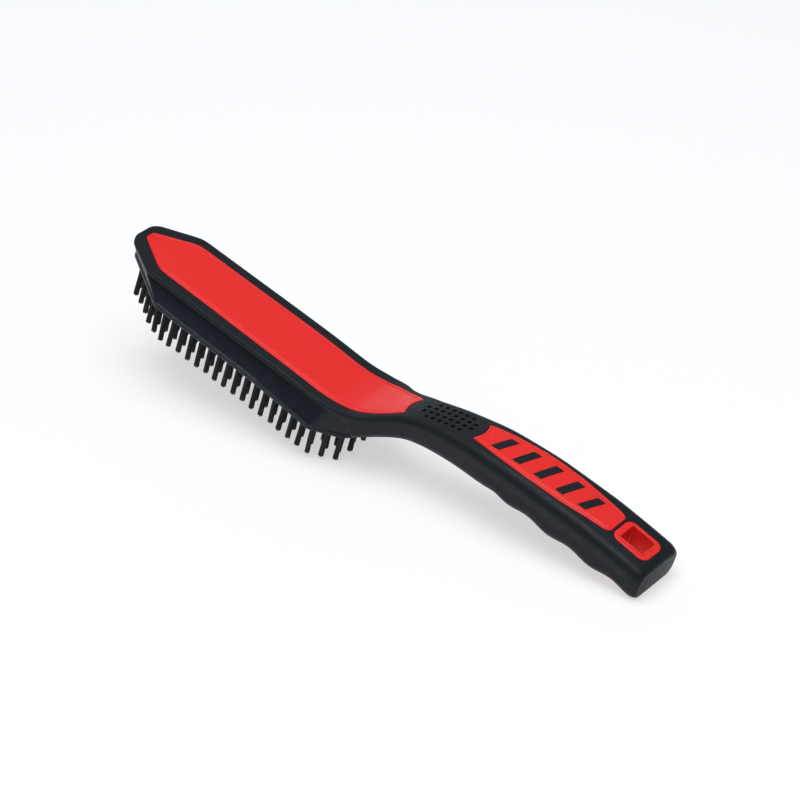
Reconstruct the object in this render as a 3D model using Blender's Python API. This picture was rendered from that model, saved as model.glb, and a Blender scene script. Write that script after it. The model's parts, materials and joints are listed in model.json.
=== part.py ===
# Wheel brush: a long-handled hand brush for rims. Run it with Blender 4.5.
#
# Every length below is in millimetres times MM. The brush is drawn in its own frame: X runs from the
# nose of the head to the butt of the handle, Y across it, Z up from the head's flat top. At the end it
# is tipped about Y until it rests on the heel of its bristles and on the butt, as it lies on a bench.
import math
import random

import bmesh
import bpy
import numpy as np
from mathutils import Vector

MM = 0.001
GAP = 0.3 * MM  # clearance between two pieces that touch on the real brush

# Outer shape
LENGTH = 400 * MM
NOSE_START = -1.5 * MM
NOSE_ROUNDING = 6 * MM  # what the rounded corner takes off the half-width at the very front
NOSE_CORNER = 5 * MM
CHAMFER_HALF_WIDTH = 11.2 * MM  # the nose chamfer's line, carried to X = 0
CHAMFER_SLOPE = 0.55
SHOULDER_BLEND = 0.9 * MM
RIM_THICKNESS = 3.2 * MM
HEAD_END = 194.5 * MM
BUTT_ROUND_START = 393 * MM
BUTT_ROUND_TOP = 3.2 * MM
BUTT_ROUND_SIDE = 1.4 * MM
# Three finger waves under the grip
WAVE_DEPTH = 1.15 * MM
WAVE_PERIOD = 31 * MM
WAVE_CREST = 304 * MM  # a low point of the underside
WAVE_START, WAVE_FULL = 286 * MM, 302 * MM

# Core
CORE_WALL = 4 * MM
CORE_START = 7 * MM
CORE_END = 394 * MM
HEAD_CORE_WALL = 3.2 * MM
CORE_FLOOR = -5.9 * MM  # its underside in the head

# Red inlays
INLAY_THICKNESS = 2.3 * MM
HEAD_INLAY_START, HEAD_INLAY_END = 4 * MM, 218 * MM
HEAD_INLAY_NOSE = 3.4 * MM
HEAD_INLAY_SHOULDER = 29.7 * MM
PANEL_START, PANEL_END = 266 * MM, 367 * MM
END_SAG = 2.2 * MM  # how far an inlay's hollow end dips in along X
WINDOW_DEPTH, WINDOW_RISE = 3.6 * MM, 3 * MM

# Generic bars on the handle panel
BAR_COUNT = 5
BAR_PITCH = 16 * MM
BAR_FIRST = 283 * MM
BAR_WIDTH = 6 * MM
BAR_SLANT = 5 * MM
BAR_PROUD = 0.4 * MM
BAR_SUNK = 0.9 * MM

# Hang hole
HOLE_X = 381.5 * MM
HOLE_LENGTH, HOLE_WIDTH = 16.5 * MM, 13.4 * MM
LINER_WALL = 1.6 * MM
FLANGE_WIDTH = 4.5 * MM, 3.05 * MM  # along X, and across
FLANGE_THICKNESS = 1.8 * MM
FLANGE_PROUD = 0.3 * MM
CUTTER_REACH = 12 * MM  # how far the hole's cutter sticks out of the handle

# Thumb dots on the neck
DOT_X = 243.4 * MM
DOT_ROWS = (6, 8, 8, 6)  # dots in each row along X, from the near side to the far side
DOT_STEP_X, DOT_STEP_Y = 4.7 * MM, 4.8 * MM
DOT_SIZE = 2.3 * MM
DOT_DEPTH = 1.2 * MM

# Brush block
BLOCK_NOSE = 1.5 * MM
BLOCK_CHAMFER_HALF_WIDTH = 7.6 * MM
BLOCK_CHAMFER_SLOPE = 0.593
BLOCK_NOSE_OVERHANG = 2 * MM  # how much further the nose and the chamfer stand out under the rim
BLOCK_HALF_WIDTH = 32 * MM  # at the lip
BLOCK_TOP_HALF_WIDTH = 23.8 * MM  # under the rim
BLOCK_LIP = 3.3 * MM
BLOCK_CORNER_X = 170 * MM
BLOCK_REAR_X, BLOCK_REAR_HALF_WIDTH = 188 * MM, 20.5 * MM
BLOCK_END, BLOCK_END_HALF_WIDTH = 194 * MM, 11 * MM

# Bristles
ROW_COUNT = 24
FIRST_ROW = 7.4 * MM
ROW_PITCH = 7.71 * MM
TUFT_PITCH = 7.4 * MM
TUFT_RADIUS = 1.5 * MM
TUFT_SIDES = 6
SIDE_ROOM = 5.2 * MM  # from the block's lip to the outermost tuft's centre
CHAMFER_ROOM = 3.3 * MM  # the same beside the root strip's corner, where the lip runs aslant
TUFT_STAGGER = 1.5 * MM  # every other tuft stands this far before its row's line, the rest behind it
TUFT_LEAN = 0.035  # most that a tip strays sideways, as a share of its length
ROOT_WIDTH = 6.4 * MM
ROOT_END = 1.9 * MM  # past the outermost tufts' centres
ROOT_HEIGHT = 2.2 * MM
TRIM_X, TRIM_Z = 103 * MM, -40.5 * MM  # the shortest tufts
TRIM_NOSE = 2.5 * MM  # how much further the nose and the heel reach
TRIM_HEEL = 1.6 * MM
TRIM_HEEL_X = 168 * MM

RED = (0.807, 0.033, 0.028, 1)
GRIP_BLACK = (0.016, 0.019, 0.025, 1)
BLOCK_BLACK = (0.009, 0.014, 0.020, 1)
BRISTLE_BLACK = (0.008, 0.010, 0.012, 1)
CORE_GREY = (0.05, 0.05, 0.055, 1)


def smooth_through(*keys):
    """A smooth curve through hand-set keys (x, value) in millimetres. It never swings past a key."""
    xs, ys = np.array(keys, float).T * MM
    steps = np.diff(ys) / np.diff(xs)
    before, after = steps[:-1], steps[1:]
    same_way = before * after > 0
    slopes = np.concatenate([steps[:1], np.zeros(len(before)), steps[-1:]])
    slopes[1:-1][same_way] = (2 * before * after)[same_way] / (before + after)[same_way]

    def at(x):
        i = np.clip(np.searchsorted(xs, x) - 1, 0, len(xs) - 2)
        h = xs[i + 1] - xs[i]
        t = np.clip((x - xs[i]) / h, 0, 1)
        start = (2 * t**3 - 3 * t**2 + 1) * ys[i] + (t**3 - 2 * t**2 + t) * h * slopes[i]
        return start + (3 * t**2 - 2 * t**3) * ys[i + 1] + (t**3 - t**2) * h * slopes[i + 1]

    return at


# The handle's lines, each through its own few keys
top_line = smooth_through((-2, 0), (130, 0), (150, -0.4), (162, -0.8), (170, -0.5), (185, 2), (200, 8), (225, 22),
                          (250, 31), (280, 37.4), (320, 40.5), (350, 40.6), (375, 39.2), (400, 36.8))
bottom_line = smooth_through((-2, -9), (150, -9), (170, -13), (190, -14), (199, -11.6), (208, -7),
                             (225, 2.2), (243, 7.9), (261, 11.6), (279, 13.9), (300, 15.9), (400, 15.9))
side_line = smooth_through((-2, 25.8), (60, 26.1), (120, 26.5), (175, 26.5), (190, 25.7), (197, 24.3), (205, 20.7),
                           (215, 17.3), (230, 15.3), (260, 16.9), (285, 18.9), (330, 20), (400, 19.8))
top_edge = smooth_through((-2, 1.6), (180, 1.6), (210, 4), (240, 5.5), (300, 6.5), (400, 5.5))
bottom_edge = smooth_through((-2, 1.5), (180, 3), (210, 6), (240, 6.5), (300, 6.5), (400, 6))
crown = smooth_through((-2, 0), (180, 0), (210, 0.8), (240, 1.2), (300, 1.4), (400, 1.2))
core_side = smooth_through((0, 21.5), (150, 21), (168, 17.5), (182, 13.5), (194, 10), (230, 9.4), (262, 11),
                           (300, 15), (400, 16))
inlay_side = smooth_through((0, 18.7), (60, 18.9), (130, 19.5), (180, 19), (190, 18.6), (196, 17.8), (202, 15.9),
                            (210, 12.8), (218, 9.4))
panel_side = smooth_through((266, 8.6), (275, 10.3), (290, 12.1), (312, 13.5), (330, 13.2), (350, 11.2),
                            (361, 10), (365, 9.2), (367, 7.2))
block_bottom = smooth_through((0, -14.8), (41, -16.1), (60, -16.7), (113, -16.8), (131, -17.5), (149, -18.7),
                              (171, -20.6), (194, -21.5))


def ease(x, start, end):
    t = min(max((x - start) / (end - start), 0), 1)
    return t * t * (3 - 2 * t)


def butt_round(x):
    """0 on the handle, growing to 1 at the butt as a quarter circle does."""
    t = max((x - BUTT_ROUND_START) / (LENGTH - BUTT_ROUND_START), 0)
    return 1 - math.sqrt(max(1 - t * t, 0))


def half_width(x):
    chamfer = CHAMFER_HALF_WIDTH + CHAMFER_SLOPE * x
    side = side_line(x)
    width = -SHOULDER_BLEND * np.logaddexp(-chamfer / SHOULDER_BLEND, -side / SHOULDER_BLEND)
    nose = max(1 - (x - NOSE_START) / NOSE_CORNER, 0)
    width -= NOSE_ROUNDING * (1 - math.sqrt(max(1 - nose * nose, 0)))
    return width - BUTT_ROUND_SIDE * butt_round(x)


def top(x):
    return top_line(x) - BUTT_ROUND_TOP * butt_round(x)


def bottom(x):
    wave = WAVE_DEPTH * math.cos(2 * math.pi * (x - WAVE_CREST) / WAVE_PERIOD)
    return bottom_line(x) - wave * ease(x, WAVE_START, WAVE_FULL) + BUTT_ROUND_SIDE * butt_round(x)


def surface(x, y):
    """Height of the handle's upper surface at (x, y)."""
    width, radius = half_width(x), top_edge(x)
    flat = width - radius
    z = top(x) - crown(x) * (min(abs(y), flat) / width) ** 2
    past = max(abs(y) - flat, 0)
    return z - radius + math.sqrt(max(radius**2 - past**2, 0))


def ring(x, width, high, low, rise, high_radius, low_radius, flat_steps=3, arc_steps=4):
    """A closed section across X: a crowned top, a radius, a straight side, a radius and a flat bottom."""
    flat = width - high_radius
    half = [(flat * i / flat_steps, high - rise * (flat * i / flat_steps / width) ** 2) for i in range(flat_steps)]
    centre = high - rise * (flat / width) ** 2 - high_radius
    for i in range(arc_steps + 1):
        a = math.pi / 2 * (1 - i / arc_steps)
        half.append((flat + high_radius * math.cos(a), centre + high_radius * math.sin(a)))
    for i in range(arc_steps + 1):
        a = -math.pi / 2 * i / arc_steps
        half.append((width - low_radius + low_radius * math.cos(a), low + low_radius + low_radius * math.sin(a)))
    half.append((0, low))
    return [(x, y, z) for y, z in half] + [(x, -y, z) for y, z in half[-2:0:-1]]


def mesh_object(name, build, colour=None, roughness=0.5):
    """An object whose mesh build(bm) fills. Without a colour it is a cutter, left out of the part."""
    bm = bmesh.new()
    build(bm)
    bmesh.ops.recalc_face_normals(bm, faces=bm.faces)
    mesh = bpy.data.meshes.new(name)
    bm.to_mesh(mesh)
    bm.free()
    obj = bpy.data.objects.new(name, mesh)
    bpy.context.collection.objects.link(obj)
    obj.parent = rest
    if colour:
        material = bpy.data.materials.new(name)
        material.use_nodes = True
        shader = material.node_tree.nodes["Principled BSDF"]
        shader.inputs["Base Color"].default_value = colour
        shader.inputs["Roughness"].default_value = roughness
        shader.inputs["Metallic"].default_value = 0
        mesh.materials.append(material)
        mesh.shade_smooth()
        mesh.set_sharp_from_angle(angle=math.radians(35))
    else:
        obj.hide_render = True
        obj.display_type = "WIRE"
    return obj


def cut(target, cutter):
    modifier = target.modifiers.new("cut_" + cutter.name, "BOOLEAN")
    modifier.operation = "DIFFERENCE"
    modifier.object = cutter


def skin_rings(bm, rings):
    """Joins the rings one after another and closes both ends."""
    rows = [[bm.verts.new(point) for point in points] for points in rings]
    for before, after in zip(rows, rows[1:]):
        for i in range(len(before)):
            j = (i + 1) % len(before)
            bm.faces.new((before[i], before[j], after[j], after[i]))
    bm.faces.new(rows[0])
    bm.faces.new(rows[-1])


def add_box(bm, low, high):
    corners = [[bm.verts.new((x, y, z)) for x, y in
                ((low[0], low[1]), (high[0], low[1]), (high[0], high[1]), (low[0], high[1]))]
               for z in (low[2], high[2])]
    for i in range(4):
        j = (i + 1) % 4
        bm.faces.new((corners[0][i], corners[0][j], corners[1][j], corners[1][i]))
    bm.faces.new(corners[0])
    bm.faces.new(corners[1])


def add_prism(bm, outline, low, high):
    """A prism on an outline of (x, y) points. low and high are heights, or functions of (x, y)."""
    rows = []
    for level in (low, high):
        heights = [level(x, y) if callable(level) else level for x, y in outline]
        rows.append([bm.verts.new((x, y, z)) for (x, y), z in zip(outline, heights)])
    for i in range(len(outline)):
        j = (i + 1) % len(outline)
        bm.faces.new((rows[0][i], rows[0][j], rows[1][j], rows[1][i]))
    bm.faces.new(rows[0])
    bm.faces.new(rows[1])


# Grip overmould and core

def body_stations():
    nose = [-1.5, -1, 0, 1.2, 3.5, 12, 22, 25, 27, 30, 36]
    head = [75, 115, 150, 162]
    neck = range(168, 290, 6)
    grip = range(290, 393, 5)
    butt = [393, 395.5, 397.5, 399, 399.7, 400]
    return [x * MM for x in (*nose, *head, *neck, *grip, *butt)]


def build_shell(bm):
    rings = [ring(x, half_width(x), top(x), bottom(x), crown(x), top_edge(x), bottom_edge(x))
             for x in body_stations()]
    skin_rings(bm, rings)


def core_rings(grow):
    """The core's sections, each pushed outwards by grow."""
    stations = [CORE_START - grow] + [x * MM for x in (28, 60, 110, 160, 178, 187, 195, 203, 212, 222, 234, 248,
                                                       264, 284, 305, 330, 360)] + [CORE_END + grow]
    rings = []
    for x in stations:
        at = min(max(x, CORE_START), CORE_END)
        wall = HEAD_CORE_WALL + (CORE_WALL - HEAD_CORE_WALL) * ease(at, 170 * MM, 210 * MM)
        width = min(half_width(at) - wall, CHAMFER_HALF_WIDTH + CHAMFER_SLOPE * at - 2 * wall, core_side(at)) + grow
        high = top(at) - INLAY_THICKNESS - 2 * GAP + grow
        low = (bottom_line(at) + CORE_WALL if at > HEAD_END + MM else CORE_FLOOR) - grow
        radius = min(top_edge(at), (high - low) * 0.3)
        rings.append(ring(x, width, high, low, crown(at), radius, radius, 1, 2))
    return rings


# Inlays

def head_inlay_width(x):
    along = (x - HEAD_INLAY_START) / (HEAD_INLAY_SHOULDER - HEAD_INLAY_START)
    chamfer = HEAD_INLAY_NOSE + (inlay_side(HEAD_INLAY_SHOULDER) - HEAD_INLAY_NOSE) * along
    return min(chamfer, inlay_side(x))


HEAD_INLAY_STATIONS = (29.7, 80, 130, 160, 172, 180, 187, 193, 199, 205, 211)
PANEL_STATIONS = (275, 285, 298, 312, 326, 340, 352, 361, 365)


def build_sheet(bm, start, stations, end, width_at, dips, grow, low, high):
    """A sheet that follows the upper surface, from low to high above it, with its outline pushed out by grow.

    dips says how far the first and the last edge curve in along X at the middle."""
    rows = []
    inner = [x * MM for x in stations]
    for x in [start, *inner, end]:
        width = width_at(x) + grow
        dip = dips[0] if x == start else -dips[1] if x == end else 0
        push = -grow if x == start else grow if x == end else 0
        across = [(x + push + dip * (1 - v * v), v * width) for v in (-1, -0.5, 0, 0.5, 1)]
        rows.append([[bm.verts.new((px, py, surface(px, py) + level)) for px, py in across]
                     for level in (low, high)])
    for before, after in zip(rows, rows[1:]):
        for level in (0, 1):
            for i in range(4):
                bm.faces.new((before[level][i], before[level][i + 1], after[level][i + 1], after[level][i]))
        for i in (0, 4):
            bm.faces.new((before[0][i], after[0][i], after[1][i], before[1][i]))
    for row in (rows[0], rows[-1]):
        for i in range(4):
            bm.faces.new((row[0][i], row[0][i + 1], row[1][i + 1], row[1][i]))


def build_head_inlay(bm, grow=0, low=-INLAY_THICKNESS, high=0):
    build_sheet(bm, HEAD_INLAY_START, HEAD_INLAY_STATIONS, HEAD_INLAY_END, head_inlay_width,
                (0, END_SAG), grow, low, high)


def build_panel(bm, grow=0, low=-INLAY_THICKNESS, high=0):
    build_sheet(bm, PANEL_START, PANEL_STATIONS, PANEL_END, panel_side, (END_SAG, 0), grow, low, high)


def bar_outline(index, grow):
    """A leaning bar across the panel. The bars grow shorter towards the butt."""
    x = BAR_FIRST + BAR_PITCH * index
    reach = panel_side(x) * 0.62
    half = BAR_WIDTH / 2 + grow
    lean = BAR_SLANT / 2
    return [(x - half - lean, -reach - grow), (x + half - lean, -reach - grow),
            (x + half + lean, reach + grow), (x - half + lean, reach + grow)]


def add_bar(bm, index, grow, low, high):
    add_prism(bm, bar_outline(index, grow), lambda x, y: surface(x, y) + low, lambda x, y: surface(x, y) + high)


# Hang hole

def collar_rings(profile):
    """Rectangles round the hang hole. profile lists (steps outside its wall, top or bottom, height above it)."""
    rings = []
    for (along, across), level, height in profile:
        a, b = HOLE_LENGTH / 2 + along, HOLE_WIDTH / 2 + across
        rings.append([(HOLE_X + x, y, level(HOLE_X + x) + height) for x, y in ((-a, -b), (a, -b), (a, b), (-a, b))])
    return rings


def build_liner(bm):
    hole, wall = (0, 0), (LINER_WALL, LINER_WALL)
    high, low = FLANGE_PROUD, GAP
    under, over = high - FLANGE_THICKNESS, low + FLANGE_THICKNESS
    rings = collar_rings([(hole, top, high), (FLANGE_WIDTH, top, high), (FLANGE_WIDTH, top, under),
                          (wall, top, under), (wall, bottom, over), (FLANGE_WIDTH, bottom, over),
                          (FLANGE_WIDTH, bottom, low), (hole, bottom, low)])
    rows = [[bm.verts.new(point) for point in points] for points in rings]
    for before, after in zip(rows, rows[1:] + rows[:1]):
        for i in range(4):
            j = (i + 1) % 4
            bm.faces.new((before[i], before[j], after[j], after[i]))


def build_hole_cutter(bm):
    flange = [width + GAP for width in FLANGE_WIDTH]
    wall = (LINER_WALL + GAP, LINER_WALL + GAP)
    high, low = FLANGE_PROUD - FLANGE_THICKNESS - GAP, FLANGE_THICKNESS + 2 * GAP
    skin_rings(bm, collar_rings([(flange, top, high + CUTTER_REACH), (flange, top, high), (wall, top, high),
                                 (wall, bottom, low), (flange, bottom, low), (flange, bottom, low - CUTTER_REACH)]))


# Thumb dots

def build_dots(bm):
    for row, count in enumerate(DOT_ROWS):
        y = (row - (len(DOT_ROWS) - 1) / 2) * DOT_STEP_Y
        for i in range(count):
            x = DOT_X + (i - (count - 1) / 2) * DOT_STEP_X
            r = DOT_SIZE / 2
            outline = [(x - r, y - r), (x + r, y - r), (x + r, y + r), (x - r, y + r)]
            add_prism(bm, outline, lambda px, py: surface(px, py) - DOT_DEPTH,
                      lambda px, py: surface(px, py) + 2 * MM)


# Brush block

BLOCK_STATIONS = (41, 60, 85, 113, 131, 149, 162)


def block_half_width(x):
    chamfer = BLOCK_CHAMFER_HALF_WIDTH + BLOCK_CHAMFER_SLOPE * x
    rear = BLOCK_HALF_WIDTH + (BLOCK_REAR_HALF_WIDTH - BLOCK_HALF_WIDTH) * (x - BLOCK_CORNER_X) / (
        BLOCK_REAR_X - BLOCK_CORNER_X)
    return min(chamfer, BLOCK_HALF_WIDTH, rear)


def block_side(side, overhang, height):
    """One side of the block's outline, nose to end, at this half-width. height is a function of x."""
    narrowing = (BLOCK_HALF_WIDTH - side) / BLOCK_HALF_WIDTH
    nose = BLOCK_NOSE - BLOCK_CHAMFER_SLOPE * overhang
    chamfer = BLOCK_CHAMFER_HALF_WIDTH + overhang
    outline = [(nose, chamfer + BLOCK_CHAMFER_SLOPE * nose),
               ((side - chamfer) / BLOCK_CHAMFER_SLOPE, side),
               *[(x * MM, side) for x in BLOCK_STATIONS],
               (BLOCK_CORNER_X + 20 * MM * narrowing, side),
               (BLOCK_REAR_X, BLOCK_REAR_HALF_WIDTH * (1 - 0.6 * narrowing)),
               (BLOCK_END, BLOCK_END_HALF_WIDTH * (1 - 0.6 * narrowing))]
    return [(x, y, height(x)) for x, y in outline]


def build_block(bm):
    roof = -RIM_THICKNESS - GAP
    lip_top, mid = lambda x: block_bottom(x) + BLOCK_LIP, BLOCK_NOSE_OVERHANG / 2
    levels = [
        block_side(BLOCK_TOP_HALF_WIDTH, 2 * mid, lambda x: roof),
        block_side(BLOCK_TOP_HALF_WIDTH + 3.6 * MM, mid, lambda x: (roof + lip_top(x)) / 2),
        block_side(BLOCK_HALF_WIDTH - 0.4 * MM, 0, lip_top),
        block_side(BLOCK_HALF_WIDTH, 0, lambda x: block_bottom(x) + 0.9 * BLOCK_LIP),
        block_side(BLOCK_HALF_WIDTH, 0, lambda x: block_bottom(x) + 0.1 * BLOCK_LIP),
        block_side(BLOCK_HALF_WIDTH - 0.4 * MM, 0, block_bottom),
    ]
    sides = [[[bm.verts.new((x, sign * y, z)) for x, y, z in level] for level in levels] for sign in (-1, 1)]
    for side in sides:
        for above, below in zip(side, side[1:]):
            for i in range(len(above) - 1):
                bm.faces.new((above[i], above[i + 1], below[i + 1], below[i]))
    near, far = sides
    for level in (0, -1):
        for i in range(len(near[level]) - 1):
            bm.faces.new((near[level][i], near[level][i + 1], far[level][i + 1], far[level][i]))
    for end in (0, -1):
        for i in range(len(levels) - 1):
            bm.faces.new((near[i][end], near[i + 1][end], far[i + 1][end], far[i][end]))


# Bristle rows

def row_x(row):
    return FIRST_ROW + ROW_PITCH * row


def row_places(row):
    """The tufts' places across the block, evenly spread between its edges."""
    edges = [block_half_width(row_x(row) + side * ROOT_WIDTH / 2) for side in (-1, 1)]
    reach = min(BLOCK_HALF_WIDTH - SIDE_ROOM, min(edges) - CHAMFER_ROOM)
    count = round(2 * reach / TUFT_PITCH) + 1
    return [reach * (2 * i / (count - 1) - 1) for i in range(count)]


def trim_height(x):
    """The tips lie on a hollow curve, shortest at TRIM_X."""
    if x < TRIM_X:
        return TRIM_Z - TRIM_NOSE * ((TRIM_X - x) / (TRIM_X - FIRST_ROW)) ** 2
    return TRIM_Z - TRIM_HEEL * (min(x - TRIM_X, TRIM_HEEL_X - TRIM_X) / (TRIM_HEEL_X - TRIM_X)) ** 2


def build_row(row, lean):
    x = row_x(row)
    places = row_places(row)
    pitch = places[1] - places[0]
    low, tip = block_bottom(x), trim_height(x)
    half = ROOT_WIDTH / 2

    def build(bm):
        # The underside is one six-sided cell for each tuft, and each cell's middle is drawn out into the tuft
        edges = [place - pitch / 2 for place in places] + [places[-1] + pitch / 2]
        edges[0], edges[-1] = places[0] - ROOT_END, places[-1] + ROOT_END
        marks = sorted(edges + places)
        near = [bm.verts.new((x - half, y, low)) for y in marks]
        far = [bm.verts.new((x + half, y, low)) for y in marks]
        roof = [bm.verts.new((x + sx * half, y, low + ROOT_HEIGHT)) for sx, y in
                ((-1, marks[0]), (1, marks[0]), (1, marks[-1]), (-1, marks[-1]))]
        bm.faces.new((roof[0], *near, roof[3]))
        bm.faces.new((roof[1], *far, roof[2]))
        bm.faces.new((roof[0], roof[1], far[0], near[0]))
        bm.faces.new((roof[3], roof[2], far[-1], near[-1]))
        bm.faces.new(roof)
        for i, y in enumerate(places):
            a = 2 * i
            cell = [near[a], near[a + 1], near[a + 2], far[a + 2], far[a + 1], far[a]]
            angles = [math.radians(degrees) for degrees in (-150, -180, 150, 30, 0, -30)]
            middle = x + TUFT_STAGGER * (1 - 2 * (i % 2))
            root = [bm.verts.new((middle + TUFT_RADIUS * math.cos(t), y + TUFT_RADIUS * math.sin(t), low))
                    for t in angles]
            dx, dy = (lean.uniform(-TUFT_LEAN, TUFT_LEAN) * (low - tip) for _ in range(2))
            end = [bm.verts.new((v.co.x + dx, v.co.y + dy, tip)) for v in root]
            for j in range(TUFT_SIDES):
                k = (j + 1) % TUFT_SIDES
                bm.faces.new((cell[j], cell[k], root[k], root[j]))
                bm.faces.new((root[j], root[k], end[k], end[j]))
            bm.faces.new(end)

    return build


def build_grooves(bm):
    """Slots in the block's underside, one for each bristle row's root."""
    for row in range(ROW_COUNT):
        x = row_x(row)
        reach = row_places(row)[-1] + ROOT_END + GAP
        half = ROOT_WIDTH / 2 + GAP
        low = block_bottom(x)
        add_box(bm, (x - half, -reach, low - 4 * MM), (x + half, reach, low + ROOT_HEIGHT + GAP))


def lay_down():
    """Tips the brush until it rests on its heel tufts and its butt, with its box's base centred on the origin."""
    last = row_x(ROW_COUNT - 1)
    heel = last + TUFT_STAGGER + TUFT_RADIUS
    butt = WAVE_CREST + 3 * WAVE_PERIOD
    rest.rotation_euler.y = math.atan2(bottom(butt) - trim_height(last), butt - heel)
    bpy.context.view_layer.update()
    graph = bpy.context.evaluated_depsgraph_get()
    corners = []
    for obj in bpy.context.scene.objects:
        if obj.type == "MESH" and not obj.hide_render:
            placed = obj.evaluated_get(graph)
            corners += [placed.matrix_world @ vertex.co for vertex in placed.data.vertices]
    low = Vector(min(c[i] for c in corners) for i in range(3))
    high = Vector(max(c[i] for c in corners) for i in range(3))
    rest.location = (-(low.x + high.x) / 2, -(low.y + high.y) / 2, -low.z)


def main():
    floor = mesh_object("head_floor_cutter", lambda bm: add_box(
        bm, (-20 * MM, -40 * MM, -30 * MM), (HEAD_END, 40 * MM, -RIM_THICKNESS)))
    cavity = mesh_object("core_cavity_cutter", lambda bm: skin_rings(bm, core_rings(GAP)))
    window = mesh_object("head_window_cutter", lambda bm: build_head_inlay(bm, GAP, -WINDOW_DEPTH, WINDOW_RISE))
    panel_window = mesh_object("panel_window_cutter", lambda bm: build_panel(bm, GAP, -WINDOW_DEPTH, WINDOW_RISE))
    hole = mesh_object("hang_hole_cutter", build_hole_cutter)
    dots = mesh_object("thumb_dot_cutter", build_dots)

    shell = mesh_object("grip_overmould", build_shell, GRIP_BLACK, 0.55)
    for cutter in (floor, cavity, window, panel_window, hole, dots):
        cut(shell, cutter)
    core = mesh_object("core_frame", lambda bm: skin_rings(bm, core_rings(0)), CORE_GREY, 0.5)
    cut(core, hole)

    mesh_object("head_inlay", build_head_inlay, RED, 0.42)
    panel = mesh_object("handle_inlay", build_panel, RED, 0.42)
    sockets = mesh_object("bar_socket_cutter", lambda bm: [
        add_bar(bm, i, GAP, -BAR_SUNK, 2 * MM) for i in range(BAR_COUNT)])
    cut(panel, sockets)
    for i in range(BAR_COUNT):
        mesh_object(f"panel_bar_{i + 1}", lambda bm, i=i: add_bar(bm, i, 0, GAP - BAR_SUNK, BAR_PROUD),
                    GRIP_BLACK, 0.45)
    mesh_object("hang_hole_liner", build_liner, RED, 0.35)

    block = mesh_object("brush_block", build_block, BLOCK_BLACK, 0.45)
    cut(block, cavity)
    cut(block, mesh_object("row_groove_cutter", build_grooves))
    lean = random.Random(7)
    for row in range(ROW_COUNT):
        mesh_object(f"bristle_row_{row + 1:02d}", build_row(row, lean), BRISTLE_BLACK, 0.6)
    lay_down()


for old in list(bpy.data.objects):
    bpy.data.objects.remove(old, do_unlink=True)
rest = bpy.data.objects.new("rest_pose", None)
bpy.context.collection.objects.link(rest)
main()
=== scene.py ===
# Wheel brush: the finished look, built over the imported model.
# Lengths are in millimetres in the brush's own frame: X from the nose to the butt, Y across it, Z up
# from the head's flat top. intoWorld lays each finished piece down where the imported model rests.
import math

import bpy
import numpy as np
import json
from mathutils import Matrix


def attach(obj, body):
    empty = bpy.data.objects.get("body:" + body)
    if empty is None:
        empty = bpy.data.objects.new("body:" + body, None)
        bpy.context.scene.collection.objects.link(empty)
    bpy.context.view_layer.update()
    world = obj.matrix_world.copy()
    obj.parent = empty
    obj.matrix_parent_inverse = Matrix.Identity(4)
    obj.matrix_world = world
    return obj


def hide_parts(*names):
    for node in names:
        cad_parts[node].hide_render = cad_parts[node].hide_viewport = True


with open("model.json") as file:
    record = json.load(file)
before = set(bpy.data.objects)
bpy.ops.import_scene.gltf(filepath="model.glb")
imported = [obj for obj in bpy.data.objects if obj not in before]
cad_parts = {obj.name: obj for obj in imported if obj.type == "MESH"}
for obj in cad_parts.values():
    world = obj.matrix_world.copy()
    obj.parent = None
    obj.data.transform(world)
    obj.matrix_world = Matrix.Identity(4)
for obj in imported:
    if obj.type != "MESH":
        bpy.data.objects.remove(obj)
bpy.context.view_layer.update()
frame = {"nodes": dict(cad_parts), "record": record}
print("frame loaded:", len(frame["nodes"]), "nodes")

# The wall mount on the head's back is known in both frames, so it gives the tilt and the shift
headBack = next(mount for mount in frame["record"]["mounts"] if mount["name"] == "head_back")
tilt = math.atan2(headBack["axis"][0], headBack["axis"][2])
mountAt = (100, 0)  # X and Z of that mount on the brush
shiftX = headBack["pos_m"][0] * 1000 - mountAt[0] * math.cos(tilt) - mountAt[1] * math.sin(tilt)
shiftZ = headBack["pos_m"][2] * 1000 + mountAt[0] * math.sin(tilt) - mountAt[1] * math.cos(tilt)


def intoWorld(points):
    # Turns the points about Y by the tilt, shifts them, and makes metres of millimetres
    x, y, z = points[..., 0], points[..., 1], points[..., 2]
    alongFloor = x * math.cos(tilt) + z * math.sin(tilt) + shiftX
    turned = (alongFloor, y, z * math.cos(tilt) - x * math.sin(tilt) + shiftZ)
    return np.stack(turned, -1) / 1000


def volumeOf(points, faceSets):
    # Sum over the faces of the signed pyramids from the middle of the piece, fans from each first corner
    points = points - points.mean(0)
    total = 0
    for faces in faceSets:
        for k in range(1, faces.shape[1] - 1):
            a, b, c = (points[faces[:, i]] for i in (0, k, k + 1))
            total += np.einsum("ij,ij->", a, np.cross(b, c))
    return total


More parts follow.
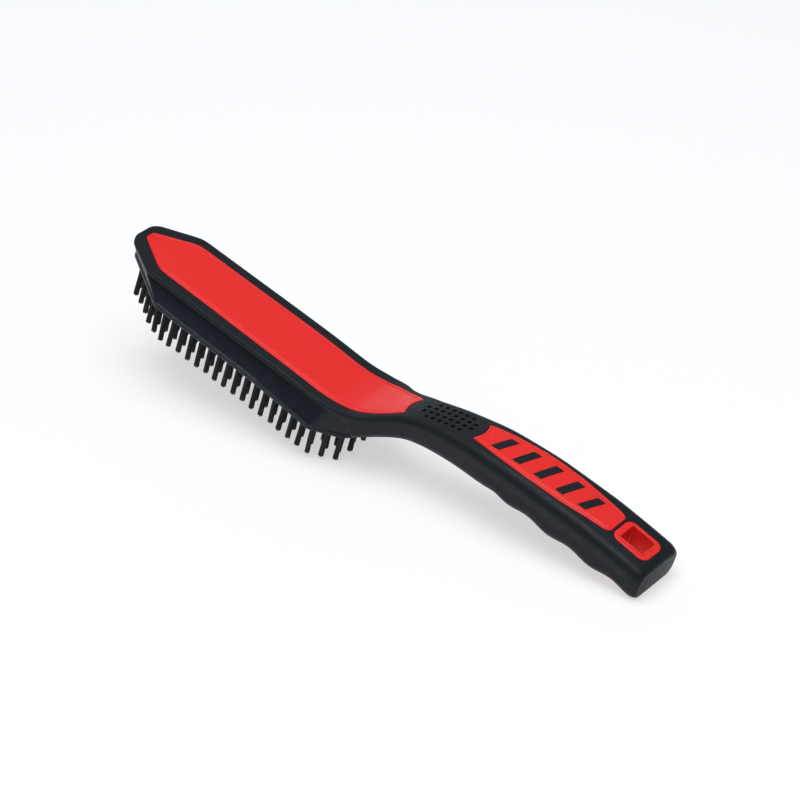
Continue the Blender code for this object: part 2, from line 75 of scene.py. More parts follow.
def makePiece(name, points, faceSets, material, nodes, sharpAngle=38):
    # One closed mesh from points (n, 3) and arrays of faces, each array with its own corner count
    faceSets = [np.asarray(faces, np.int32) for faces in faceSets]
    if volumeOf(points, faceSets) < 0:
        faceSets = [faces[:, ::-1] for faces in faceSets]
    corners = np.concatenate([faces.ravel() for faces in faceSets])
    sizes = np.concatenate([np.full(len(faces), faces.shape[1]) for faces in faceSets])
    mesh = bpy.data.meshes.new(name)
    mesh.vertices.add(len(points))
    mesh.vertices.foreach_set("co", intoWorld(points).astype(np.float32).ravel())
    mesh.loops.add(len(corners))
    mesh.loops.foreach_set("vertex_index", corners.astype(np.int32))
    mesh.polygons.add(len(sizes))
    mesh.polygons.foreach_set("loop_start", (np.cumsum(sizes) - sizes).astype(np.int32))
    mesh.update(calc_edges=True)
    mesh.validate()
    mesh.materials.append(material)
    mesh.shade_smooth()
    mesh.set_sharp_from_angle(angle=math.radians(sharpAngle))
    piece = bpy.data.objects.new(name, mesh)
    bpy.context.scene.collection.objects.link(piece)
    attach(piece, "root")
    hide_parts(*nodes)
    return piece


def gridFaces(rows, columns, closed=False):
    # Quads between neighbouring rows and columns of a grid of points, closed round its columns if asked
    i = np.arange(rows - 1)[:, None]
    j = np.arange(columns if closed else columns - 1)[None, :]
    k = (j + 1) % columns
    quads = np.stack([i * columns + j, i * columns + k, (i + 1) * columns + k, (i + 1) * columns + j], -1)
    return quads.reshape(-1, 4)


def smoothLine(*keys):
    # Cubic pieces through the keys. The slope at a key is the harmonic mean of the straight slopes on its
    # two sides, or nothing where they turn, so the line never swings past a key.
    xs, ys = np.array(keys, float).T
    steps = np.diff(ys) / np.diff(xs)
    before, after = steps[:-1], steps[1:]
    same = before * after > 0
    slopes = np.concatenate([steps[:1], np.zeros(len(before)), steps[-1:]])
    slopes[1:-1][same] = (2 * before * after)[same] / (before + after)[same]

    def at(x):
        x = np.asarray(x, float)
        i = np.clip(np.searchsorted(xs, x) - 1, 0, len(xs) - 2)
        h = xs[i + 1] - xs[i]
        t = np.clip((x - xs[i]) / h, 0, 1)
        start = (2 * t**3 - 3 * t**2 + 1) * ys[i] + (t**3 - 2 * t**2 + t) * h * slopes[i]
        return start + (3 * t**2 - 2 * t**3) * ys[i + 1] + (t**3 - t**2) * h * slopes[i + 1]

    return at


def ease(x, start, end):
    t = np.clip((np.asarray(x, float) - start) / (end - start), 0, 1)
    return t * t * (3 - 2 * t)


def quarterCircle(t):
    # 0 at t = 0, rising as a quarter circle does to 1 at t = 1
    return 1 - np.sqrt(np.clip(1 - np.clip(t, 0, 1) ** 2, 0, 1))


def linear(hexColour):
    # sRGB hex to linear light
    channels = [int(hexColour[i:i + 2], 16) / 255 for i in (1, 3, 5)]
    return tuple(c / 12.92 if c <= 0.04045 else ((c + 0.055) / 1.055) ** 2.4 for c in channels) + (1.0,)


def addNode(tree, kind, settings=None, inputs=None):
    # One node with its settings, and its inputs either set or linked from another node's socket
    made = tree.nodes.new(kind)
    for key, value in (settings or {}).items():
        setattr(made, key, value)
    for key, value in (inputs or {}).items():
        if isinstance(value, bpy.types.NodeSocket):
            tree.links.new(value, made.inputs[key])
        else:
            made.inputs[key].default_value = value
    return made


def startMaterial(name, ior, roughness, metallic=0.0, gloss=0.5):
    material = bpy.data.materials.new(name)
    material.use_nodes = True
    tree = material.node_tree
    shader = tree.nodes["Principled BSDF"]
    shader.inputs["IOR"].default_value = ior
    shader.inputs["Roughness"].default_value = roughness
    shader.inputs["Metallic"].default_value = metallic
    shader.inputs["Specular IOR Level"].default_value = gloss
    place = addNode(tree, "ShaderNodeTexCoord").outputs["Object"]
    return material, tree, shader, place


def perMetre(millimetres):
    # Noise scale for features of this size
    return 1000 / millimetres


def twoTone(tree, place, size, dark, pale, detail=3.0):
    # Slow drift between two close colours over patches of this size
    drift = addNode(tree, "ShaderNodeTexNoise", inputs={
        "Vector": place, "Scale": perMetre(size), "Detail": detail})
    mix = addNode(tree, "ShaderNodeMix", {"data_type": "RGBA"})
    tree.links.new(drift.outputs["Fac"], mix.inputs["Factor"])
    mix.inputs[6].default_value = linear(dark)
    mix.inputs[7].default_value = linear(pale)
    return mix.outputs[2]


def roughBand(tree, place, size, low, high):
    # Roughness that wanders between low and high over patches of this size
    noise = addNode(tree, "ShaderNodeTexNoise", inputs={
        "Vector": place, "Scale": perMetre(size), "Detail": 2.0})
    band = addNode(tree, "ShaderNodeMapRange", inputs={
        "Value": noise.outputs["Fac"], "From Min": 0.3, "From Max": 0.7, "To Min": low, "To Max": high})
    return band.outputs["Result"]


rubber = {
    "dark": "#0E1217", "pale": "#13181E",
    "patch": 14,  # mm
    "grain": 0.55,  # mm; real spark-eroded grain is nearer 0.1 mm, drawn coarser so that it shows
    "grainDepth": 0.025,  # mm
    "roughness": (0.46, 0.6),
}


def softTouchRubber(name):
    # Thermoplastic rubber moulded in a spark-eroded tool: a bluish black with a broad soft sheen
    material, tree, shader, place = startMaterial(name, 1.5, 0.52, gloss=0.22)
    tree.links.new(twoTone(tree, place, rubber["patch"], rubber["dark"], rubber["pale"]),
                   shader.inputs["Base Color"])
    tree.links.new(roughBand(tree, place, 3.0, *rubber["roughness"]), shader.inputs["Roughness"])
    grain = addNode(tree, "ShaderNodeTexNoise", inputs={
        "Vector": place, "Scale": perMetre(rubber["grain"]), "Detail": 2.0, "Roughness": 0.6})
    bump = addNode(tree, "ShaderNodeBump", inputs={
        "Height": grain.outputs["Fac"], "Strength": 0.5, "Distance": rubber["grainDepth"] / 1000})
    tree.links.new(bump.outputs["Normal"], shader.inputs["Normal"])
    shader.inputs["Sheen Weight"].default_value = 0.05
    shader.inputs["Sheen Roughness"].default_value = 0.4
    return material


redPlastic = {
    "dark": "#E5221B", "pale": "#EC2821",
    "patch": 22,
    "ripple": 1.6,  # mm, the faint unevenness of a moulded satin face
    "rippleDepth": 0.012,
    "roughness": (0.34, 0.44),
}


def satinRedPolypropylene(name):
    # Moulded polypropylene with a satin face: strong red, a soft wide highlight, edges a little paler
    material, tree, shader, place = startMaterial(name, 1.49, 0.4, gloss=0.4)
    tree.links.new(twoTone(tree, place, redPlastic["patch"], redPlastic["dark"], redPlastic["pale"]),
                   shader.inputs["Base Color"])
    tree.links.new(roughBand(tree, place, 4.0, *redPlastic["roughness"]), shader.inputs["Roughness"])
    ripple = addNode(tree, "ShaderNodeTexNoise", inputs={
        "Vector": place, "Scale": perMetre(redPlastic["ripple"]), "Detail": 3.0})
    bump = addNode(tree, "ShaderNodeBump", inputs={
        "Height": ripple.outputs["Fac"], "Strength": 0.4, "Distance": redPlastic["rippleDepth"] / 1000})
    tree.links.new(bump.outputs["Normal"], shader.inputs["Normal"])
    return material


blockPlastic = {
    "dark": "#091018", "pale": "#0D151E",
    "patch": 18,
    "grain": 0.8,
    "grainDepth": 0.02,
    "roughness": (0.36, 0.5),
}


def mouldedPolypropylene(name, look):
    # Moulded polypropylene block: blue-black, smoother than the rubber, so its edges catch thin highlights
    material, tree, shader, place = startMaterial(name, 1.49, 0.42, gloss=0.32)
    tree.links.new(twoTone(tree, place, look["patch"], look["dark"], look["pale"]),
                   shader.inputs["Base Color"])
    tree.links.new(roughBand(tree, place, 2.5, *look["roughness"]), shader.inputs["Roughness"])
    grain = addNode(tree, "ShaderNodeTexNoise", inputs={
        "Vector": place, "Scale": perMetre(look["grain"]), "Detail": 2.0})
    bump = addNode(tree, "ShaderNodeBump", inputs={
        "Height": grain.outputs["Fac"], "Strength": 0.4, "Distance": look["grainDepth"] / 1000})
    tree.links.new(bump.outputs["Normal"], shader.inputs["Normal"])
    return material


corePlastic = {
    "dark": "#2B2D31", "pale": "#34373B",
    "patch": 9,
    "grain": 0.6,
    "grainDepth": 0.02,
    "roughness": (0.45, 0.6),
}

filamentLook = {
    "dark": "#070A0C", "pale": "#12171A",
    "streak": 0.5,  # mm across a filament
    "stretch": 0.06,  # how slowly it changes along one
    "roughness": (0.38, 0.55),
}


def extrudedNylon(name):
    # Extruded nylon filament, cut flat: near black, with fine pale streaks that run along each bundle
    material, tree, shader, place = startMaterial(name, 1.53, 0.45, gloss=0.25)
    stretched = addNode(tree, "ShaderNodeMapping", inputs={
        "Vector": place, "Rotation": (0, -tilt, 0), "Scale": (1, 1, filamentLook["stretch"])})
    along = stretched.outputs["Vector"]
    streaky = twoTone(tree, along, filamentLook["streak"], filamentLook["dark"], filamentLook["pale"], 2.0)
    tree.links.new(streaky, shader.inputs["Base Color"])
    tree.links.new(roughBand(tree, along, filamentLook["streak"], *filamentLook["roughness"]),
                   shader.inputs["Roughness"])
    streaks = addNode(tree, "ShaderNodeTexNoise", inputs={
        "Vector": along, "Scale": perMetre(filamentLook["streak"] / 2), "Detail": 2.0})
    bump = addNode(tree, "ShaderNodeBump", inputs={
        "Height": streaks.outputs["Fac"], "Strength": 0.3, "Distance": 0.00002})
    tree.links.new(bump.outputs["Normal"], shader.inputs["Normal"])
    return material


gripRubber = softTouchRubber("soft_touch_rubber_moulded")
redSatin = satinRedPolypropylene("red_polypropylene_moulded")
blockBlack = mouldedPolypropylene("black_polypropylene_moulded", blockPlastic)
coreGrey = mouldedPolypropylene("core_polypropylene_moulded", corePlastic)
bristleNylon = extrudedNylon("nylon_filament_extruded")

core = frame["nodes"]["core_frame"]
core.data.materials.clear()
core.data.materials.append(coreGrey)
print("materials ready")

# the lines that the grip, the inlays and the core share
body = {
    "length": 400, "noseStart": -1.5, "noseRounding": 6, "noseCorner": 5,
    "chamferHalfWidth": 11.2, "chamferSlope": 0.55, "shoulderBlend": 0.9,
    "headUnderside": -3.2, "headEnd": 194.5,
    "buttRoundStart": 393, "buttRoundTop": 3.2, "buttRoundSide": 1.4,
    "waveDepth": 1.15, "wavePeriod": 31, "waveCrest": 304, "waveStart": 286, "waveFull": 302,
    "noseEdge": 0.8,  # radius round the nose's own rim
}
topLine = smoothLine((-2, 0), (130, 0), (150, -0.4), (162, -0.8), (170, -0.5), (185, 2), (200, 8), (225, 22), (250, 31),
                     (280, 37.4), (320, 40.5), (350, 40.6), (375, 39.2), (400, 36.8))
bottomLine = smoothLine((-2, -9), (150, -9), (170, -13), (190, -14), (199, -11.6), (208, -7), (225, 2.2),
                        (243, 7.9), (261, 11.6), (279, 13.9), (300, 15.9), (400, 15.9))
sideLine = smoothLine((-2, 25.8), (60, 26.1), (120, 26.5), (175, 26.5), (190, 25.7), (197, 24.3), (205, 20.7),
                      (215, 17.3), (230, 15.3), (260, 16.9), (285, 18.9), (330, 20), (400, 19.8))
topEdge = smoothLine((-2, 1.2), (4, 1.5), (180, 1.6), (210, 4), (240, 5.5), (300, 6.5), (400, 5.5))
bottomEdge = smoothLine((-2, 1.5), (180, 3), (210, 6), (240, 6.5), (300, 6.5), (400, 6))
crown = smoothLine((-2, 0), (180, 0), (210, 0.8), (240, 1.2), (300, 1.4), (400, 1.2))
inlaySide = smoothLine((0, 18.7), (60, 18.9), (130, 19.5), (180, 19), (190, 18.6), (196, 17.8), (202, 15.9),
                       (210, 12.8), (218, 9.4))
panelSide = smoothLine((266, 8.6), (275, 10.3), (290, 12.1), (312, 13.5), (330, 13.2), (350, 11.2), (361, 10),
                       (365, 9.2), (367, 7.2))


def noseInset(x):
    # How far the rounded nose rim draws the section in: a quarter circle over the first noseEdge of X
    return body["noseEdge"] * quarterCircle(1 - (np.asarray(x) - body["noseStart"]) / body["noseEdge"])


def buttRound(x):
    return quarterCircle((np.asarray(x) - body["buttRoundStart"]) / (body["length"] - body["buttRoundStart"]))


def halfWidth(x):
    # Soft minimum of the chamfer's straight line and the side line, rounded in at the nose and the butt
    chamfer = body["chamferHalfWidth"] + body["chamferSlope"] * np.asarray(x)
    blend = body["shoulderBlend"]
    width = -blend * np.logaddexp(-chamfer / blend, -sideLine(x) / blend)
    width -= body["noseRounding"] * quarterCircle(1 - (np.asarray(x) - body["noseStart"]) / body["noseCorner"])
    return width - body["buttRoundSide"] * buttRound(x) - noseInset(x)


def topOf(x):
    return topLine(x) - body["buttRoundTop"] * buttRound(x) - noseInset(x)


def bottomOf(x):
    wave = body["waveDepth"] * np.cos(2 * np.pi * (np.asarray(x) - body["waveCrest"]) / body["wavePeriod"])
    return bottomLine(x) - wave * ease(x, body["waveStart"], body["waveFull"]) + body["buttRoundSide"] * buttRound(x)


def upperSurface(x, y):
    # Height of the top: a shallow parabola across, then a quarter circle down to the side
    width, radius = halfWidth(x), topEdge(x)
    flat = width - radius
    z = topOf(x) - crown(x) * (np.minimum(np.abs(y), flat) / width) ** 2
    past = np.maximum(np.abs(y) - flat, 0)
    return z - radius + np.sqrt(np.maximum(radius**2 - past**2, 0))


def roundedEnd(x, end, radius):
    # How much a corner of this radius takes off a half-width near an end
    return radius * quarterCircle(1 - np.abs(np.asarray(x) - end) / radius)


inlay = {
    "thickness": 2.3, "clearance": 0.15,
    "headStart": 4, "headEnd": 218, "headNose": 3.4, "headShoulder": 29.7, "headNoseCorner": 1.3, "hornRadius": 0.7,
    "panelStart": 266, "panelEnd": 367,
    "sag": 2.2,  # how far a hollow end dips in along X
    # distance from the outline, and height over the black surface: rounded edge, flat border, step, hairline groove
    "border": ((0, -0.12), (0.1, 0.12), (0.3, 0.26), (0.55, 0.3), (1.6, 0.3), (1.78, 0.22), (1.95, -0.06),
               (2.15, -0.1), (2.35, 0)),
}


def headInlayWidth(x):
    x = np.asarray(x, float)
    along = (x - inlay["headStart"]) / (inlay["headShoulder"] - inlay["headStart"])
    nose = inlay["headNose"] + (inlaySide(inlay["headShoulder"]) - inlay["headNose"]) * along
    width = -1.1 * np.logaddexp(-nose / 1.1, -inlaySide(x) / 1.1)  # the shoulder's corner, softened
    return width - roundedEnd(x, inlay["headStart"], inlay["headNoseCorner"]) - roundedEnd(
        x, inlay["headEnd"], inlay["hornRadius"])


def panelWidth(x):
    return panelSide(x) - roundedEnd(x, inlay["panelStart"], inlay["hornRadius"])


def sagAt(x, end, before, after):
    # 1 at the end, fading to 0 this far before and after it
    d = np.asarray(x, float) - end
    t = np.clip(np.where(d < 0, -d / before, d / after), 0, 1)
    return (1 - t * t) ** 2


def closedSheet(x, y, high, low):
    # A closed solid from a grid of places, its upper heights and its lower heights, walled round the edge
    rows, columns = x.shape
    points = np.concatenate([np.stack([x, y, z], -1).reshape(-1, 3) for z in (high, low)])
    upper = gridFaces(rows, columns)
    count = rows * columns
    index = np.arange(count).reshape(rows, columns)
    rim = np.concatenate([index[0, :-1], index[:-1, -1], index[-1, :0:-1], index[:0:-1, 0]])
    after = np.roll(rim, -1)
    walls = np.stack([rim, rim + count, after + count, after], -1)
    return points, [np.concatenate([upper, upper[:, ::-1] + count, walls])]


def borderedSheet(start, end, widthAt, sagStart, sagEnd, stations):
    # A sheet whose grid follows its outline: rows and columns run along the border's steps, and the height at
    # a point is the border profile at the smaller of its distances from the end and from the side
    distance, rise = np.array(inlay["border"]).T
    deep = distance[-1]
    inner = np.array([x for x in stations if start + deep + 0.3 < x < end - deep - 0.3])
    rows = np.concatenate([start + distance, inner, end - distance[::-1]])
    rowDistance = np.minimum(rows - start, end - rows)
    width = widthAt(rows)
    squeeze = np.minimum(1, width / (deep * 1.3))  # a narrow end has a narrower border
    fractions = np.linspace(-1, 1, 15)
    side = distance[None, :] * squeeze[:, None]
    middle = (width - deep * squeeze)[:, None] * fractions[1:-1][None, :]
    y = np.concatenate([side - width[:, None], middle, (width[:, None] - side)[:, ::-1]], 1)
    columnDistance = np.concatenate([distance, np.full(len(fractions) - 2, deep + 1), distance[::-1]])
    share = y / width[:, None]
    bend = (sagStart * sagAt(rows, start, 16, 16) - sagEnd * sagAt(rows, end, 16, 16))[:, None] * (1 - share**2)
    x = rows[:, None] + bend
    depth = np.minimum(rowDistance[:, None], columnDistance[None, :])
    surface = upperSurface(x, y)
    return closedSheet(x, y, surface + np.interp(depth, distance, rise), surface - inlay["thickness"])


headStations = np.concatenate([np.arange(5, 40, 0.75), np.arange(40, 168, 4), np.arange(168, 218, 1)])
points, faces = borderedSheet(inlay["headStart"], inlay["headEnd"], headInlayWidth, 0, inlay["sag"], headStations)
makePiece("headInlay", points, faces, redSatin, ["head_inlay"], 30)
panelStations = np.concatenate([np.arange(267, 362, 1.5), np.arange(362, 367, 0.3)])
points, faces = borderedSheet(inlay["panelStart"], inlay["panelEnd"], panelWidth, inlay["sag"], 0, panelStations)
makePiece("handlePanel", points, faces, redSatin, ["handle_inlay"], 30)
print("inlays ready")

# the bars stand on the handle panel
bars = {
    "count": 5, "pitch": 16, "first": 283, "width": 6, "slant": 5, "reach": 0.62,
    "sunk": 0.9, "proud": 0.2,
    "edge": ((0, -0.35), (0.05, -0.12), (0.16, -0.03), (0.35, 0)),
}


def slantedBar(index):
    # A leaning pad: across it runs the width, along it the reach, and each row is pushed along X by the lean
    middle = bars["first"] + bars["pitch"] * index
    reach = float(panelSide(middle)) * bars["reach"]
    distance, rise = np.array(bars["edge"]).T
    half = bars["width"] / 2
    across = np.concatenate([-half + distance, [0], half - distance[::-1]])
    along = np.concatenate([-reach + distance, np.linspace(-reach, reach, 9)[1:-1], reach - distance[::-1]])
    u, v = np.meshgrid(across, along, indexing="ij")
    x, y = middle + u + v / reach * bars["slant"] / 2, v
    depth = np.minimum(half - np.abs(u), reach - np.abs(v))
    surface = upperSurface(x, y)
    return closedSheet(x, y, surface + bars["proud"] + np.interp(depth, distance, rise), surface - bars["sunk"])


for i in range(bars["count"]):
    points, faces = slantedBar(i)
    makePiece(f"panelBar{i + 1}", points, faces, gripRubber, [f"panel_bar_{i + 1}"], 30)

grip = {
    "recess": 2.6, "lip": 0.22, "draft": 0.06, "bevel": 0.3,
    "holeX": 381.5, "holeLength": 25.8, "holeWidth": 19.8, "holeCorner": 5.3, "holeSink": 1.6,
    "heelRadius": 2.2,  # front edge of the neck's heel, behind the block
    "underEdge": 0.8,  # lower edge of the head's rim
    "sideHollow": 0.35,  # thumb hollow along the grip's sides
}
dots = {
    "rows": ((-7.2, 6), (-2.4, 8), (2.4, 8), (7.2, 6)), "middle": 243.4, "pitch": 4.7, "half": 1.15,
    "draft": 0.14, "depth": 1.2,
}
dotColumns = dots["middle"] + dots["pitch"] * (np.arange(8) - 3.5)
holeStart = grip["holeX"] - grip["holeLength"] / 2
holeEnd = grip["holeX"] + grip["holeLength"] / 2
recesses = (
    (inlay["headStart"] - inlay["clearance"], inlay["headEnd"] + inlay["clearance"], grip["recess"]),
    (inlay["panelStart"] - inlay["clearance"], inlay["panelEnd"] + inlay["clearance"], grip["recess"]),
    (holeStart, holeEnd, grip["holeSink"]),
)


def bodyStations():
    ends = [edge + side * step for a, b, _ in recesses for edge, side in ((a, -1), (b, 1))
            for step in (grip["bevel"], grip["draft"], 0)]
    dotEdges = [x + step for x in dotColumns for step in
                (-dots["half"] - dots["draft"], -dots["half"], 0, dots["half"], dots["half"] + dots["draft"])]
    between = [x + dots["pitch"] / 2 for x in dotColumns]
    corners = [end + side * radius * (1 - math.cos(a)) for end, side, radius in
               ((recesses[0][0], 1, 0.9), (recesses[0][1], -1, 0.7), (recesses[1][0], 1, 0.7),
                (holeStart, 1, grip["holeCorner"]), (holeEnd, -1, grip["holeCorner"]))
               for a in np.radians(np.arange(15, 91, 12.5))]
    nose = [-1.5, -1.47, -1.4, -1.28, -1.1, -0.88, -0.7, -0.3, 0.1, 0.6, 1.2, 1.9, 2.7, 3.4]
    head = [*np.arange(6, 22, 2), *np.arange(22, 38, 1), *np.arange(38, 166, 4), *np.arange(166, 190, 1.5)]
    heel = [190, 192, 194.3, 194.5, 194.7, 195.1, 195.7, 196.5, 197.5]
    neck = [*np.arange(198.5, 218, 1), 219.5, 221, 222.5, 224, 262.5, 264]
    handle = [*np.arange(268, 366, 2), 365.2, 366, 366.6, 368.5, *np.arange(375.5, 389, 1.5)]
    butt = [393, 394.4, 395.8, 397, 397.9, 398.6, 399.2, 399.6, 399.85, 400]
    return np.unique(np.round([*nose, *ends, *corners, *head, *heel, *neck, *dotEdges, *between, *handle, *butt], 3))


def innerWidth(x):
    # The line that follows the inlays' and the hole's outlines, and runs freely between them
    clear = inlay["clearance"]
    (a, b, _), (c, d, _), _ = recesses
    free = np.interp(x, [body["noseStart"], a, b, 225, 262, c, d, holeStart, holeEnd, 400],
                     [1.4, headInlayWidth(4) + clear, headInlayWidth(218) + clear, 9.2, 9.2,
                      panelWidth(266) + clear, panelWidth(367) + clear, 3.5, 3.5, 3.3])
    head = headInlayWidth(np.clip(x, 4, 218)) + clear
    panel = panelWidth(np.clip(x, 266, 367)) + clear
    corner = grip["holeCorner"]
    hole = grip["holeWidth"] / 2 - roundedEnd(x, holeStart, corner) - roundedEnd(x, holeEnd, corner)
    return np.select([(x >= a) & (x <= b), (x >= c) & (x <= d), (x >= holeStart) & (x <= holeEnd)],
                     [head, panel, hole], free)


def buildGrip():
    # A closed skin of rings across X. Each ring runs from the middle of the top out over the recess, its wall
    # and the rim, down the top radius, the side and the lower radius, and in along the bottom, then mirrored.
    x = bodyStations()
    count = len(x)
    width, inner = halfWidth(x), innerWidth(x)
    radius = topEdge(x)
    flat = width - radius

    # inner lines: even shares of the inner width, drawn onto the dots' edges where the dots are
    h, t = dots["half"], dots["draft"]
    dotLines = np.array([0, 2.4 - h - t, 2.4 - h, 2.4, 2.4 + h, 2.4 + h + t, 4.8, 7.2 - h - t, 7.2 - h, 7.2,
                         7.2 + h, 7.2 + h + t])
    even = np.arange(12) / 12 * inner[:, None]
    onDots = (ease(x, 219.5, 225.5) * (1 - ease(x, 261.5, 265)))[:, None]
    lines = np.concatenate([even * (1 - onDots) + dotLines * onDots, inner[:, None], inner[:, None] + grip["draft"],
                            inner[:, None] + grip["bevel"]], 1)
    lineCount = lines.shape[1]

    # depth of the recesses at each point
    inside = np.zeros(count)
    for a, b, deep in recesses:
        near = (x >= a - grip["draft"] - 1e-3) & (x <= b + grip["draft"] + 1e-3)
        inside = np.where(near, grip["lip"], inside)
        inside = np.where((x >= a - 1e-3) & (x <= b + 1e-3), deep, inside)
    across = np.array([99.0] * (lineCount - 2) + [grip["lip"], 0])
    sunk = np.minimum(inside[:, None], across[None, :])
    for place, number in dots["rows"][2:]:
        row = np.isin(np.round(x, 2), np.round(np.concatenate([dotColumns + s for s in (-h, 0, h)]), 2))
        row &= np.abs(x - dots["middle"]) < dots["pitch"] * number / 2
        column = np.abs(np.append(dotLines, [99] * 3) - place) < h + 0.01
        sunk += dots["depth"] * row[:, None] * column[None, :]

    # the hollow ends bend the rows of the inlays' recesses
    bend = inlay["sag"] * (sagAt(x, 266, 4, 16) - sagAt(x, 218, 16, 7))[:, None]
    share = np.clip(lines / inner[:, None], 0, 1)
    topX = x[:, None] + bend * (1 - share**2)
    topZ = upperSurface(topX, lines) - sunk

    # from the last line to the side, evenly along the flat and then the top radius
    first = lines[:, -1]
    angle = np.arcsin(np.clip((first - flat) / radius, 0, 1))
    straight = np.maximum(flat - first, 0)
    arc = radius * (np.pi / 2 - angle)
    along = np.linspace(0, 1, 17)[1:][None, :] * (straight + arc)[:, None]
    turned = angle[:, None] + np.maximum(along - straight[:, None], 0) / radius[:, None]
    onFlat = along < straight[:, None]
    outerY = np.where(onFlat, first[:, None] + along, flat[:, None] + radius[:, None] * np.sin(turned))
    reach = np.minimum(outerY, flat[:, None])
    outerZ = topOf(x)[:, None] - (crown(x) / width**2)[:, None] * reach**2 - np.where(
        onFlat, 0, radius[:, None] * (1 - np.cos(turned)))

    # side, lower radius and bottom
    behind = x > body["headEnd"] + 0.1
    heelRound = grip["heelRadius"] * quarterCircle(1 - (x - body["headEnd"] - 0.2) / grip["heelRadius"])
    low = np.where(behind, bottomOf(x) + heelRound, body["headUnderside"] + 0.4 * noseInset(x))
    lowRadius = np.where(behind, bottomEdge(x), grip["underEdge"])
    sideTop = outerZ[:, -1]
    sideLow = low + lowRadius
    t = np.linspace(0, 1, 9)[1:]
    sideZ = sideTop[:, None] + (sideLow - sideTop)[:, None] * t
    hollow = grip["sideHollow"] * ease(x, 262, 300) * (1 - ease(x, 380, 396))
    sideY = width[:, None] - hollow[:, None] * np.sin(np.pi * t) ** 2
    turn = np.linspace(0, np.pi / 2, 9)[1:]
    lowY = (width - lowRadius)[:, None] + lowRadius[:, None] * np.cos(turn)
    lowZ = sideLow[:, None] - lowRadius[:, None] * np.sin(turn)
    inHole = (x >= holeStart - 1e-3) & (x <= holeEnd + 1e-3)
    under = np.where(inHole, inner, np.interp(x, [-1.5, 4, 30, 180, 212, 300, holeStart, holeEnd, 400],
                                              [1.2, 4, 10, 10, 5, 5, 3.5, 3.5, 3.3]))
    t = np.linspace(0, 1, 5)[1:]
    floorY = (width - lowRadius)[:, None] + (under - width + lowRadius)[:, None] * t
    centreY = under[:, None] * np.arange(11, -1, -1) / 12
    flatY = np.concatenate([floorY, centreY], 1)
    flatZ = np.repeat(low[:, None], flatY.shape[1], 1)

    ringY = np.concatenate([lines, outerY, sideY, lowY, flatY], 1)
    ringZ = np.concatenate([topZ, outerZ, sideZ, lowZ, flatZ], 1)
    ringX = np.repeat(x[:, None], ringY.shape[1], 1)
    ringX[:, :lineCount] = topX
    half = np.stack([ringX, ringY, ringZ], -1)
    mirrored = half[:, -2:0:-1] * np.array([1, -1, 1])
    rings = np.concatenate([half, mirrored], 1)
    columns = rings.shape[1]
    last = half.shape[1] - 1

    # quads all round, without those over the hole, which gets walls of its own from top to bottom
    quads = gridFaces(count, columns, True)
    row, column = np.divmod(np.arange((count - 1) * columns), columns)
    a, b = (int(np.argmin(np.abs(x - edge))) for edge in (holeStart, holeEnd))
    over = (row >= a) & (row < b) & ((column < 12) | (column >= columns - 12) | (np.abs(column + 0.5 - last) < 12))
    quads = quads[~over]

    def holeRim(middle):
        at = [(i, middle + 12) for i in range(a, b)] + [(b, middle + j) for j in range(12, -12, -1)]
        at += [(i, middle - 12) for i in range(b, a, -1)] + [(a, middle + j) for j in range(-12, 12)]
        return np.array([i * columns + j % columns for i, j in at])

    upper = holeRim(0)
    lower = np.array([(i // columns) * columns + (last - (i % columns if i % columns < columns / 2
                                                          else i % columns - columns)) % columns for i in upper])
    walls = np.stack([upper, np.roll(upper, -1), np.roll(lower, -1), lower], -1)
    caps = np.stack([np.arange(columns)[::-1], (count - 1) * columns + np.arange(columns)])
    return rings.reshape(-1, 3), [np.concatenate([quads, walls[:, ::-1]]), caps]


points, faces = buildGrip()
makePiece("gripShell", points, faces, gripRubber, ["grip_overmould"], 40)
print("grip ready:", len(points), "points")

liner = {
    "length": 16.5, "width": 13.4, "corner": 1.3, "flangeX": 4.5, "flangeY": 3.05, "flangeCorner": 3.8,
    # share of the way out along the flange, and height over the grip's top: the raised lip, the flange, its edge
    "top": ((0, -2.5), (0, 0.45), (0.02, 0.68), (0.07, 0.82), (0.2, 0.82), (0.26, 0.7), (0.29, 0.36), (0.33, 0.14),
            (0.6, 0.14), (0.9, 0.14), (0.97, 0.08), (1, -0.1), (1, -1.8), (0.5, -1.8)),
    # the same at the grip's underside
    "bottom": ((0.5, 1.8), (1, 1.8), (1, 0.3), (0.95, 0.12), (0.12, 0.12), (0.03, 0.2), (0, 0.4), (0, 3)),
    "levels": 8,  # rings down the opening
}


def roundedRectangle(a, b, radius, steps=9):
    # Points round a rectangle of half-sizes a and b, each corner a quarter circle
    angle = np.linspace(0, np.pi / 2, steps)
    quarter = np.stack([np.cos(angle), np.sin(angle)], -1) * radius
    corners = [(1, 1), (-1, 1), (-1, -1), (1, -1)]
    turned = [quarter * s if s[0] * s[1] > 0 else (quarter * s)[::-1] for s in corners]
    return np.concatenate([turn + np.array([s[0] * (a - radius), s[1] * (b - radius)])
                           for s, turn in zip(corners, turned)])


def buildLiner():
    # The profile is carried round the opening: each of its points is a rounded rectangle, wider and rounder
    # the further out it lies, and its height follows the grip's top or underside
    rings = []
    for share, height in liner["top"] + liner["bottom"]:
        outline = roundedRectangle(liner["length"] / 2 + share * liner["flangeX"],
                                   liner["width"] / 2 + share * liner["flangeY"],
                                   liner["corner"] + share * liner["flangeCorner"])
        x, y = outline[:, 0] + grip["holeX"], outline[:, 1]
        base = upperSurface(x, y) if height < 1 and (share, height) in liner["top"] else bottomOf(x)
        rings.append(np.stack([x, y, base + height], -1))
    first, last = rings[0], rings[-1]
    rings += [last + (first - last) * t for t in np.linspace(0, 1, liner["levels"])[1:-1]]
    ringCount, around = len(rings), len(first)
    faces = gridFaces(ringCount + 1, around, True) % (ringCount * around)
    return np.concatenate(rings), [faces]


